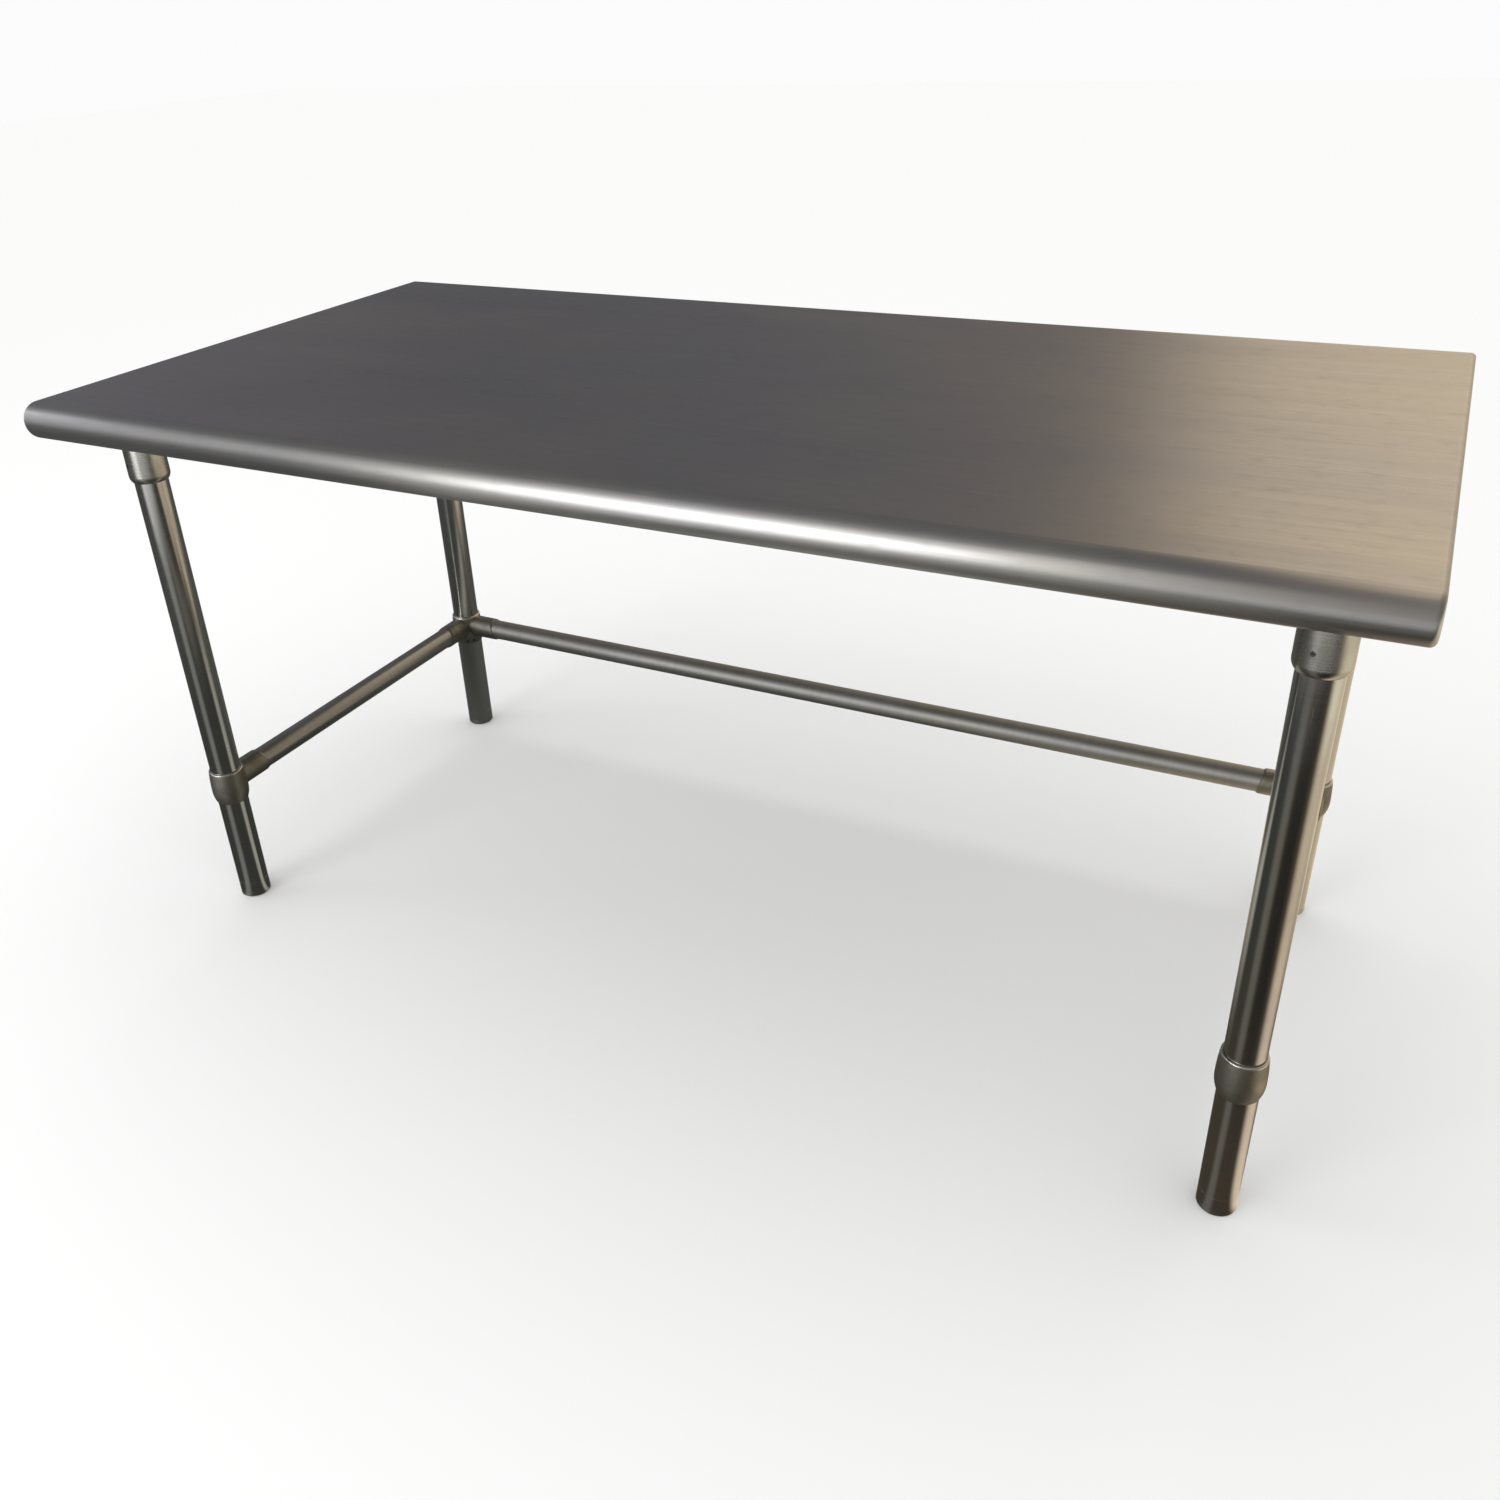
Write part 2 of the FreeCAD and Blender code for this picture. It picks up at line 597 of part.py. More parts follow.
def rail_fitting(sign_x, sign_y):
    """A cast collar with one boss, or two at the rear, bored for its leg and rails."""
    body = collar()
    directions = rail_directions(sign_x, sign_y)
    for direction in directions:
        body = body.fuse(boss(direction))
    body = blend_bosses(body.removeSplitter())
    start = vec(0, 0, -COLLAR_BOTTOM - CUT_BEYOND)
    height = COLLAR_BOTTOM + COLLAR_TOP + 2 * CUT_BEYOND
    body = body.cut(cylinder_along(LEG_RADIUS + LEG_PLAY, height, start, Z_AXIS))
    for direction in directions:
        start = direction * (RAIL_END - RAIL_STOP_GAP)
        body = body.cut(cylinder_along(RAIL_RADIUS + RAIL_PLAY, BOSS_LENGTH, start, direction))
    body.translate(corner_place(sign_x, sign_y, RAIL_HEIGHT))
    for mouth, inward, length in fitting_set_screw_places(sign_x, sign_y):
        body = body.cut(set_screw_hole(mouth, inward, length))
    return body


def rail(start, end):
    """A straight rail tube between two points on its centre line."""
    run = end - start
    direction = vec(run.x, run.y, run.z).normalize()
    outside = cylinder_along(RAIL_RADIUS, run.Length, start, direction)
    length = run.Length + 2 * CUT_BEYOND
    begin = start - direction * CUT_BEYOND
    return outside.cut(cylinder_along(RAIL_RADIUS - RAIL_WALL, length, begin, direction))


def build_base():
    screws = []
    for corner, (sign_x, sign_y) in CORNERS.items():
        save("leg_" + corner, leg_tube(sign_x, sign_y))
        save("foot_insert_" + corner, foot_insert(sign_x, sign_y))
        save("foot_" + corner, foot(sign_x, sign_y))
        save("rail_fitting_" + corner, rail_fitting(sign_x, sign_y))
        for place in fitting_set_screw_places(sign_x, sign_y):
            screws.append(set_screw(*place))
    save_group("fitting_set_screws", screws)
    side_end = vec(0, LEG_Y - RAIL_END, 0)
    for side, sign_x in (("left", -1), ("right", 1)):
        middle = vec(sign_x * LEG_X, 0, RAIL_HEIGHT)
        save("side_rail_" + side, rail(middle - side_end, middle + side_end))
    rear_end = vec(LEG_X - RAIL_END, 0, 0)
    middle = vec(0, LEG_Y, RAIL_HEIGHT)
    save("rear_rail", rail(middle - rear_end, middle + rear_end))


def main():
    os.makedirs("parts", exist_ok=True)
    save("worktop", worktop())
    build_channels()
    build_sockets()
    build_base()


main()
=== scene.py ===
import json
import math

import bpy
from mathutils import Matrix, Vector

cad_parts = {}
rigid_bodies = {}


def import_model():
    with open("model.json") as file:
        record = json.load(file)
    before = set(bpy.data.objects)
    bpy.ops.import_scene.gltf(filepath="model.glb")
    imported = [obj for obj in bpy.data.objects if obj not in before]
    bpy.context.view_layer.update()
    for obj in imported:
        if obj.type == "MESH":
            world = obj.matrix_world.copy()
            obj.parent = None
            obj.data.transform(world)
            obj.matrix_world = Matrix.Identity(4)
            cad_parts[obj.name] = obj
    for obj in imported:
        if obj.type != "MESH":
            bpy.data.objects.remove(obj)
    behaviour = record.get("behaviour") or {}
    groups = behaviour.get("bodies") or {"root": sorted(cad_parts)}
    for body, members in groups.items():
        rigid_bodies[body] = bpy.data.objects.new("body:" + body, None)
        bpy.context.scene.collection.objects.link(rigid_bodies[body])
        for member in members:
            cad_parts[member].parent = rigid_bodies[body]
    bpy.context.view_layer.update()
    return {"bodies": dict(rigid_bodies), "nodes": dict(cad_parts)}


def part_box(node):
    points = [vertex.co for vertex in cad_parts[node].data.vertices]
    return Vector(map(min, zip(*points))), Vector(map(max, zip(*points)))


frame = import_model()

# ---- camera ----
CAMERA_PLACE = Vector((0.7188, -1.3947, 1.1645))
CAMERA_HEADING = math.radians(-28.74)   # from +Y towards +X
CAMERA_TILT = math.radians(29.22)       # below the horizon
CAMERA_ROLL = math.radians(-2.79)
SENSOR_MM = 36.0
LENS_MM = 32.34
SHIFT = (0.0223, -0.0168)
NEAREST = 0.05
FARTHEST = 100.0

# ---- stage ----
FLOOR_HALF = 14.0
FLOOR_COLOUR = (0.93, 0.93, 0.925, 1)
BACKDROP_COLOUR = (0.97, 0.97, 0.97, 1)
BOUNCE_COLOUR = (1.03, 1.03, 1.03, 1)

# Painted reflection: the brightness the floor glows with in the metal's reflections only, by place.
FLOOR_NEAR_LEFT = (0.066, 0.068, 0.060, 1)
FLOOR_NEAR_RIGHT = (0.085, 0.070, 0.050, 1)
FLOOR_BEHIND_LEFT = (0.125, 0.128, 0.117, 1)
FLOOR_BEHIND_RIGHT = (0.90, 0.76, 0.56, 1)
FLOOR_LEFT = (0.10, 0.10, 0.095, 1)
FLOOR_FRONT = (1.00, 1.00, 0.98, 1)

# Where one brightness of that floor turns into the next: first and last metre of the change.
BEHIND_Y = (-0.10, 0.40)
RIGHT_X = (0.1, 0.6)
LEFT_X = (-1.0, -1.7)
FRONT_Y = (-1.7, -2.35)
FRONT_X = (-1.9, -1.2)

# The same painted floor round the two front legs: painted streaks, a glint, a painted shadow and a pool of
# painted light that the legs mirror. Headings are radians from the front, + to the right.
# A wedge is painted fully up to its first angle off its heading and not at all beyond its second.
LEFT_STREAK = (0.30, 0.30, 0.28, 1)
LEFT_STREAK_HEADING = 0.02
LEFT_STREAK_AWAY = (1.8, 1.3)
LEFT_GLINT = (0.56, 0.55, 0.47, 1)
LEFT_GLINT_HEADING = 1.84
LEFT_GLINT_WEDGE = (0.08, 0.30)
LEFT_GLINT_AWAY = (1.2, 0.8)
RIGHT_STREAK = (0.20, 0.19, 0.165, 1)
RIGHT_STREAK_HEADING = -0.50
RIGHT_STREAK_AWAY = (1.6, 1.1)
STREAK_WEDGE = (0.10, 0.45)
# Painted shadow on the floor ahead of the front right leg, seen only in the leg's reflection.
LEG_SHADOW = (0.035, 0.033, 0.028, 1)
LEG_SHADOW_HEADING = 0.35
LEG_SHADOW_WEDGE = (0.22, 0.62)
LEG_SHADOW_AWAY = (1.5, 1.1)
LEG_SHADOW_CLOSE = (0.10, 0.40)
# Painted pool of warm light to the right of the front right leg, seen only in its reflection.
FLOOR_RIGHT = (0.90, 0.75, 0.55, 1)
FLOOR_RIGHT_STARTS = (0.92, 1.52)
FLOOR_RIGHT_ENDS = (2.75, 1.85)
FLOOR_FOOT = (1.14, 0.93, 0.70, 1)
FLOOR_FOOT_AWAY = (0.60, 0.10)
FLOOR_FAR_RIGHT = (1.25, 1.15, 0.87, 1)
FLOOR_FAR_RIGHT_X = (1.60, 1.95)

# Half the brightness of the studio walls by heading, seen only in the metal: degrees from +Y, then colour.
WALLS = [
    (-180, (0.19, 0.175, 0.155)),
    (-173, (0.30, 0.283, 0.255)),
    (-162, (0.68, 0.665, 0.64)),
    (-148, (0.35, 0.35, 0.345)),
    (-130, (0.36, 0.36, 0.36)),
    (-110, (0.24, 0.24, 0.245)),
    (-75, (0.13, 0.128, 0.135)),
    (-50, (0.083, 0.079, 0.088)),
    (-38, (0.068, 0.066, 0.071)),
    (-26, (0.083, 0.080, 0.086)),
    (-17, (0.120, 0.105, 0.102)),
    (-12, (0.17, 0.143, 0.125)),
    (-6, (0.56, 0.465, 0.345)),
    (10, (0.58, 0.485, 0.36)),
    (50, (0.20, 0.175, 0.14)),
    (100, (0.12, 0.11, 0.09)),
    (150, (0.16, 0.15, 0.13)),
    (180, (0.19, 0.175, 0.155)),
]
WALL_GAIN = (2.0, 2.0, 2.0, 1)
CEILING = (0.15, 0.15, 0.152, 1)
CEILING_STARTS = (0.36, 0.66)         # upward part of a direction where walls give way to ceiling
FRONT_WALL = (-0.4, -0.8)             # +Y part of a direction where the front wall starts
FRONT_WALL_TALLER = 0.22              # how much further up the front wall reaches
CEILING_FROM_LEFT = (0.1, -0.25)      # radians from +Y; the ceiling shows only on the left of it

# ---- lights: place, aim and size in metres, then brightness and colour ----
FRONT_WINDOW = {
    "place": (-1.45, -3.6, 0.96), "aim": (0.0, -0.35, 0.72), "size": (1.8, 1.9),
    "radiance": 4.4, "rgb": (0.985, 0.995, 1.0),
}
LEFT_WINDOW = {
    "place": (-2.8, -1.1, 1.5), "aim": (-0.7, -0.3, 0.7), "size": (0.7, 1.0),
    "radiance": 1.8, "rgb": (0.96, 0.98, 1.0),
}

# ---- metals: linear base colours ----
STEEL = (0.49, 0.487, 0.465)
STEEL_COOL = (0.452, 0.450, 0.468)
STEEL_WARM = (0.530, 0.512, 0.478)
RAIL_STEEL = (0.37, 0.37, 0.34)
SOCKET_METAL = (0.46, 0.445, 0.42)
CAST_METAL = (0.30, 0.29, 0.25)
ZINC = (0.50, 0.52, 0.54)
PLATED = (0.62, 0.61, 0.57)
OXIDE = (0.09, 0.088, 0.09)
TAPE = (0.028, 0.028, 0.030)

NOISE_SPAN = (0.3, 0.7)         # the range that most noise falls in
SATIN_TUBE = (0.14, 0.20)       # roughness of the polished tubes


def colour(rgb, gain=1.0):
    return (rgb[0] * gain, rgb[1] * gain, rgb[2] * gain, 1.0)


# Sockets of the Mix node when it mixes colours.
MIX_A = 6
MIX_B = 7
MIX_RESULT = 2

HALF_TURN = 180
FULL_TURN = 360


class Graph:
    """The nodes of one material or of the world."""

    def __init__(self, owner):
        owner.use_nodes = True
        self.owner = owner
        self.tree = owner.node_tree
        self.tree.nodes.clear()

    def add(self, kind, inputs=None, **settings):
        node = self.tree.nodes.new(kind)
        for key, value in settings.items():
            setattr(node, key, value)
        for key, value in (inputs or {}).items():
            self.feed(node.inputs[key], value)
        return node

    def feed(self, socket, value):
        if isinstance(value, bpy.types.NodeSocket):
            self.tree.links.new(value, socket)
        else:
            socket.default_value = value

    def place(self):
        """The surface point in the frame's own metres."""
        return self.add("ShaderNodeTexCoord").outputs["Object"]

    def height(self):
        """The surface point's height above the frame's origin."""
        return self.add("ShaderNodeSeparateXYZ", {"Vector": self.place()}).outputs["Z"]

    def constant(self, xyz):
        return self.add("ShaderNodeCombineXYZ", {"X": xyz[0], "Y": xyz[1], "Z": xyz[2]}).outputs[0]

    def math(self, operation, a, b=0.0, c=0.0):
        inputs = {0: a, 1: b, 2: c}
        return self.add("ShaderNodeMath", inputs, operation=operation).outputs[0]

    def plus(self, a, b):
        return self.math("ADD", a, b)

    def times(self, a, b):
        return self.math("MULTIPLY", a, b)

    def remap(self, value, span, low=0.0, high=1.0, kind="LINEAR"):
        """value from the range span to low..high, held at its ends."""
        inputs = {"Value": value, "From Min": span[0], "From Max": span[1], "To Min": low, "To Max": high}
        return self.add("ShaderNodeMapRange", inputs, interpolation_type=kind).outputs["Result"]

    def ease(self, value, span):
        """0 at the first end of span and 1 at the second, eased between."""
        return self.remap(value, span, kind="SMOOTHSTEP")

    def noise(self, per_metre, detail=3.0, roughness=0.55, turn=(0, 0, 0), shift=(0, 0, 0), warp=0.0):
        """Noise with its own number of features per metre along each axis."""
        scaled = self.add(
            "ShaderNodeMapping",
            {"Vector": self.place(), "Location": shift, "Rotation": turn, "Scale": per_metre},
        )
        inputs = {
            "Vector": scaled.outputs[0], "Scale": 1.0, "Detail": detail,
            "Roughness": roughness, "Distortion": warp,
        }
        return self.add("ShaderNodeTexNoise", inputs).outputs["Fac"]

    def blend(self, factor, a, b, kind="MIX"):
        node = self.add("ShaderNodeMix", data_type="RGBA", blend_type=kind)
        self.feed(node.inputs["Factor"], factor)
        self.feed(node.inputs[MIX_A], a)
        self.feed(node.inputs[MIX_B], b)
        return node.outputs[MIX_RESULT]

    def patch(self, tint, mask, amount, rgb, gain=1.0):
        """tint, with some of another colour where the mask is."""
        return self.blend(self.times(mask, amount), tint, colour(rgb, gain))

    def stain(self, tint, noise, span, amount, rgb, gain=1.0):
        """tint, with up to `amount` of another colour as the noise rises through span."""
        return self.blend(self.remap(noise, span, high=amount), tint, colour(rgb, gain))

    def vary(self, value, noise, span, low, high):
        """value plus low..high as the noise rises through span."""
        return self.plus(value, self.remap(noise, span, low, high))

    def offset(self, value, mask, by):
        """value plus `by` where the mask is 1."""
        return self.plus(value, self.times(mask, by))

    def mix(self, a, b, share):
        """A share of a, and b for the rest."""
        return self.plus(self.times(a, share), self.times(b, 1 - share))

    def bump(self, height, depth, strength, normal=None):
        """The surface's normal with relief of a depth in metres."""
        inputs = {"Height": height, "Distance": depth, "Strength": strength}
        if normal is not None:
            inputs["Normal"] = normal
        return self.add("ShaderNodeBump", inputs).outputs["Normal"]

    def surface(self, **values):
        """The material's one shader. Keys are socket names with _ for spaces."""
        names = {key.replace("_", " "): value for key, value in values.items()}
        shader = self.add("ShaderNodeBsdfPrincipled", names)
        output = self.add("ShaderNodeOutputMaterial")
        self.tree.links.new(shader.outputs[0], output.inputs["Surface"])
        return self.owner


def material(name):
    return Graph(bpy.data.materials.new(name))


X_AXIS, Y_AXIS, Z_AXIS = range(3)


def along(axis, lengthwise, across):
    """Three numbers for X, Y and Z: one along an axis and another across it."""
    return tuple(lengthwise if step == axis else across for step in range(3))


# ---- materials ----
def scratches(g):
    """1 on faint scratches that cross the sheet in two directions."""
    first = g.noise(per_metre=(3.0, 380, 1), detail=1, roughness=0.4, turn=(0, 0, 0.55), shift=(4, 0, 0))
    second = g.noise(per_metre=(4.0, 460, 1), detail=1, roughness=0.4, turn=(0, 0, -1.05), shift=(0, 8, 0))
    first_mask = g.remap(first, span=(0.735, 0.78))
    second_mask = g.remap(second, span=(0.745, 0.79))
    return g.math("MAXIMUM", first_mask, second_mask)


def worktop_steel():
    """Sheet with a fine grain along the table, wiped clouds, faint scratches and handling marks."""
    g = material("worktop_steel")
    grain = g.noise(per_metre=(2.2, 420, 420), detail=4, roughness=0.65)
    hair = g.noise(per_metre=(5, 1500, 1500), detail=2, roughness=0.6, shift=(3, 1, 2))
    cloud = g.noise(per_metre=(2.4, 4.2, 4.2), detail=5, roughness=0.6, shift=(7, 2, 0), warp=0.4)
    wipe = g.noise(per_metre=(1.3, 22, 22), detail=3, roughness=0.5, turn=(0, 0, 0.16), shift=(1, 5, 0))
    mottle = g.noise(per_metre=(38, 60, 60), detail=4, roughness=0.7, shift=(2, 9, 4))
    scratch = scratches(g)
    tint = g.stain(colour(STEEL_COOL), cloud, span=(0.35, 0.68), amount=1.0, rgb=STEEL_WARM)
    tint = g.stain(tint, grain, NOISE_SPAN, amount=0.22, rgb=STEEL_COOL, gain=0.88)
    tint = g.stain(tint, mottle, span=(0.5, 0.75), amount=0.22, rgb=STEEL, gain=0.74)
    tint = g.patch(tint, scratch, amount=0.35, rgb=STEEL_WARM, gain=1.35)
    rough = g.remap(cloud, NOISE_SPAN, low=0.29, high=0.32)
    rough = g.vary(rough, wipe, span=(0.35, 0.7), low=-0.01, high=0.02)
    rough = g.vary(rough, grain, NOISE_SPAN, low=-0.03, high=0.03)
    rough = g.vary(rough, mottle, span=(0.55, 0.8), low=0.0, high=0.06)
    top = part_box("worktop")[1].z
    rough = g.vary(rough, g.height(), span=(top - 0.004, top - 0.018), low=0.0, high=0.025)
    height = g.offset(g.mix(grain, hair, share=0.6), scratch, by=-0.8)
    relief = g.bump(height, depth=0.00012, strength=0.55)
    dents = g.bump(cloud, depth=0.0006, strength=0.25, normal=relief)
    return g.surface(
        Base_Color=tint, Metallic=1.0, Roughness=rough, Anisotropic=0.8,
        Anisotropic_Rotation=0.25, Tangent=g.constant((1, 0, 0)), Normal=dents,
    )


def wear_near_floor(g, tint, rough, ragged_by):
    """Darker and rougher on the last few millimetres above the floor."""
    ragged = g.offset(g.height(), ragged_by, by=-0.012)
    worn = g.remap(ragged, span=(-0.004, 0.006), low=1.0, high=0.0)
    tint = g.patch(tint, worn, amount=0.4, rgb=STEEL, gain=0.6)
    return tint, g.offset(rough, worn, by=0.2)


def tube_steel(name, axis, base=STEEL, dull=0.0, floor_wear=False):
    """Polished tube: fine rings round its axis, long faint draw lines, smudges and scuffs."""
    g = material(name)
    rings = g.noise(along(axis, lengthwise=1400, across=9), detail=3, roughness=0.6)
    bands = g.noise(along(axis, lengthwise=130, across=3), detail=3, roughness=0.6, shift=(5, 5, 5))
    lines = g.noise(along(axis, lengthwise=1.2, across=520), detail=2, roughness=0.5, shift=(1, 3, 2))
    smudge = g.noise(
        along(axis, lengthwise=9, across=26), detail=5, roughness=0.62, shift=(2, 2, 6), warp=0.5
    )
    scuff = g.noise(along(axis, lengthwise=55, across=420), detail=2, roughness=0.5, turn=(0.3, 0.2, 0.3))
    scuffed = g.remap(scuff, span=(0.66, 0.76))
    tint = g.stain(colour(base, 1.04), smudge, span=(0.35, 0.7), amount=1.0, rgb=STEEL_COOL, gain=0.94)
    tint = g.stain(tint, bands, span=(0.35, 0.7), amount=0.35, rgb=STEEL_WARM, gain=0.95)
    tint = g.patch(tint, scuffed, amount=0.25, rgb=STEEL_WARM, gain=1.2)
    polished, smudged = SATIN_TUBE
    rough = g.remap(smudge, span=(0.3, 0.75), low=polished + dull, high=smudged + dull)
    rough = g.vary(rough, rings, NOISE_SPAN, low=-0.02, high=0.03)
    rough = g.offset(rough, scuffed, by=0.06)
    height = g.mix(rings, lines, share=0.5)
    if floor_wear:
        tint, rough = wear_near_floor(g, tint, rough, smudge)
    relief = g.bump(height, depth=0.00003, strength=0.5)
    return g.surface(
        Base_Color=tint, Metallic=1.0, Roughness=rough, Anisotropic=0.35,
        Tangent=g.constant(along(axis, lengthwise=1, across=0)), Normal=relief,
    )


def socket_metal():
    """Turned socket: lathe rings, a satin face and darker smears where hands and polish missed."""
    g = material("socket_metal")
    rings = g.noise(per_metre=(8, 8, 1700), detail=3, roughness=0.6)
    smear = g.noise(per_metre=(30, 30, 18), detail=4, roughness=0.6, shift=(2, 7, 1), warp=0.6)
    speck = g.noise(per_metre=(600, 600, 600), detail=2, roughness=0.6)
    clean = colour(SOCKET_METAL, 1.03)
    tint = g.stain(clean, smear, span=(0.35, 0.7), amount=1.0, rgb=SOCKET_METAL, gain=0.84)
    tint = g.stain(tint, speck, span=(0.62, 0.74), amount=0.2, rgb=SOCKET_METAL, gain=0.6)
    rough = g.remap(smear, NOISE_SPAN, low=0.23, high=0.33)
    rough = g.vary(rough, rings, NOISE_SPAN, low=-0.03, high=0.03)
    relief = g.bump(g.mix(rings, speck, share=0.7), depth=0.00010, strength=0.6)
    return g.surface(
        Base_Color=tint, Metallic=1.0, Roughness=rough, Anisotropic=0.3,
        Tangent=g.constant((0, 0, 1)), Normal=relief,
    )


def cast_metal(rim_height):
    """Tumbled casting: fine sand texture, dull skin, stains, small pits, and a smoother machined top rim
    lightened as a painted highlight.
    """
    g = material("cast_metal")
    sand = g.noise(per_metre=(900, 900, 900), detail=4, roughness=0.7)
    lumps = g.noise(per_metre=(120, 120, 120), detail=3, roughness=0.55, shift=(3, 3, 3))
    stain = g.noise(per_metre=(34, 34, 34), detail=4, roughness=0.6, shift=(8, 1, 5))
    pitted = g.noise(per_metre=(420, 420, 420), detail=1, roughness=0.5, shift=(1, 4, 2))
    pits = g.remap(pitted, span=(0.68, 0.76))
    ragged = g.offset(g.height(), lumps, by=0.0012)
    # Mask of the top rim: its real smoother finish, and a painted highlight along its rounded edge.
    machined_rim_and_highlight = g.remap(ragged, span=(rim_height - 0.0030, rim_height - 0.0010))
    clean = colour(CAST_METAL, 1.12)
    tint = g.stain(clean, stain, span=(0.35, 0.7), amount=1.0, rgb=CAST_METAL, gain=0.70)
    tint = g.patch(tint, pits, amount=0.6, rgb=CAST_METAL, gain=0.35)
    # Painted highlight: the top rim is lightened where light would catch its rounded edge.
    tint = g.patch(tint, machined_rim_and_highlight, amount=0.9, rgb=SOCKET_METAL, gain=1.45)
    rough = g.remap(stain, NOISE_SPAN, low=0.46, high=0.60)
    # The rim's real finish: smoother than the cast skin.
    rough = g.offset(rough, machined_rim_and_highlight, by=-0.22)
    height = g.offset(g.mix(sand, lumps, share=0.5), pits, by=-0.5)
    relief = g.bump(height, depth=0.00035, strength=0.7)
    return g.surface(Base_Color=tint, Metallic=1.0, Roughness=rough, Normal=relief)


def spangle(g):
    """A shade of its own, 0 to 1, for each zinc crystal."""
    inputs = {"Vector": g.place(), "Scale": (110, 110, 110), "Rotation": (0.4, 0.2, 0.7)}
    moved = g.add("ShaderNodeMapping", inputs).outputs[0]
    cells = g.add("ShaderNodeTexVoronoi", {"Vector": moved, "Scale": 1.0, "Randomness": 1.0})
    return g.add("ShaderNodeSeparateColor", {"Color": cells.outputs["Color"]}).outputs[0]


def galvanised():
    """Zinc coating with its crystal spangle."""
    g = material("galvanised_sheet")
    shade = spangle(g)
    ferns = g.noise(per_metre=(500, 500, 500), detail=3, roughness=0.6, warp=0.8)
    dull = g.noise(per_metre=(14, 14, 14), detail=4, roughness=0.6)
    tint = g.blend(shade, colour(ZINC, 0.72), colour(ZINC, 1.18))
    tint = g.stain(tint, ferns, span=(0.4, 0.7), amount=0.3, rgb=ZINC, gain=0.62)
    tint = g.stain(tint, dull, span=(0.45, 0.7), amount=0.5, rgb=ZINC, gain=0.8)
    rough = g.remap(shade, span=(0.0, 1.0), low=0.34, high=0.52)
    relief = g.bump(g.plus(shade, ferns), depth=0.00006, strength=0.5)
    return g.surface(Base_Color=tint, Metallic=1.0, Roughness=rough, Normal=relief)


def damping_tape():
    """Dark butyl tape: matt, slightly wrinkled, dusty."""
    g = material("damping_tape")
    wrinkle = g.noise(per_metre=(60, 60, 60), detail=4, roughness=0.6, warp=0.5)
    grit = g.noise(per_metre=(1400, 1400, 1400), detail=2, roughness=0.6)
    dust = g.noise(per_metre=(22, 22, 22), detail=3, roughness=0.6, shift=(4, 4, 4))
    tint = g.stain(colour(TAPE), dust, span=(0.45, 0.75), amount=0.6, rgb=TAPE, gain=3.2)
    rough = g.remap(dust, NOISE_SPAN, low=0.62, high=0.85)
    relief = g.bump(g.offset(wrinkle, grit, by=0.2), depth=0.0004, strength=0.6)
    return g.surface(Base_Color=tint, Metallic=0.0, Roughness=rough, Normal=relief)


def plated_steel():
    """Bright zinc plate with rolled texture and a little staining."""
    g = material("plated_steel")
    rings = g.noise(per_metre=(60, 60, 2200), detail=2, roughness=0.6)
    stain = g.noise(per_metre=(260, 260, 260), detail=4, roughness=0.6)
    tint = g.stain(colour(PLATED, 1.05), stain, span=(0.4, 0.7), amount=1.0, rgb=PLATED, gain=0.66)
    rough = g.remap(stain, NOISE_SPAN, low=0.22, high=0.40)
    relief = g.bump(rings, depth=0.00008, strength=0.5)
    return g.surface(Base_Color=tint, Metallic=1.0, Roughness=rough, Normal=relief)


def black_oxide():
    """Hardened set screws: black oxide, rubbed brighter in places."""
    g = material("black_oxide")
    rub = g.noise(per_metre=(700, 700, 700), detail=4, roughness=0.65)
    tint = g.stain(colour(OXIDE), rub, span=(0.5, 0.75), amount=0.8, rgb=OXIDE, gain=5.0)
    rough = g.remap(rub, NOISE_SPAN, low=0.36, high=0.52)
    relief = g.bump(rub, depth=0.00006, strength=0.5)
    return g.surface(Base_Color=tint, Metallic=1.0, Roughness=rough, Normal=relief)


def assign(name, finish):
    for slot in frame["nodes"][name].material_slots:
        slot.material = finish


def dress():
    """Give every CAD node its material."""
    zinc = galvanised()
    plated = plated_steel()
    oxide = black_oxide()
    tape = damping_tape()
    finishes = {
        "worktop": worktop_steel(),
        "rear_rail": tube_steel("rear_rail_steel", X_AXIS, RAIL_STEEL, dull=0.42),
        "side_rail": tube_steel("side_rail_steel", Y_AXIS, RAIL_STEEL, dull=0.20),
        "leg_socket": socket_metal(),
        "leg": tube_steel("leg_steel", Z_AXIS),
        "rail_fitting": cast_metal(rim_height=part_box("rail_fitting_front_left")[1].z),
        "foot_insert": zinc,
        "foot": tube_steel("foot_steel", Z_AXIS, floor_wear=True),
        "cross_channel": zinc,
        "long_channel": zinc,
        "cross_tape": tape,
        "long_tape": tape,
        "channel_studs": plated,
        "channel_nuts": plated,
        "clinch_nuts": plated,
        "socket_screws": plated,
        "socket_set_screws": oxide,
        "fitting_set_screws": oxide,
    }
    for name in sorted(frame["nodes"]):
        prefix = max((key for key in finishes if name.startswith(key)), key=len)
        assign(name, finishes[prefix])


# ---- stage, world, lights and camera ----
def polar(g, x, y, leg):
    """Heading and distance of a floor point from a leg."""
    low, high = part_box(leg)
    across = g.math("SUBTRACT", x, (low.x + high.x) / 2)
    ahead = g.math("SUBTRACT", (low.y + high.y) / 2, y)
    squares = g.math("MULTIPLY_ADD", across, across, g.times(ahead, ahead))
    return g.math("ARCTAN2", across, ahead), g.math("SQRT", squares)


def wedge(g, heading, centre, angles):
    """1 within the first angle of a heading, 0 beyond the second."""
    full, faded = angles
    off = g.math("ABSOLUTE", g.math("SUBTRACT", heading, centre))
    return g.ease(off, (faded, full))


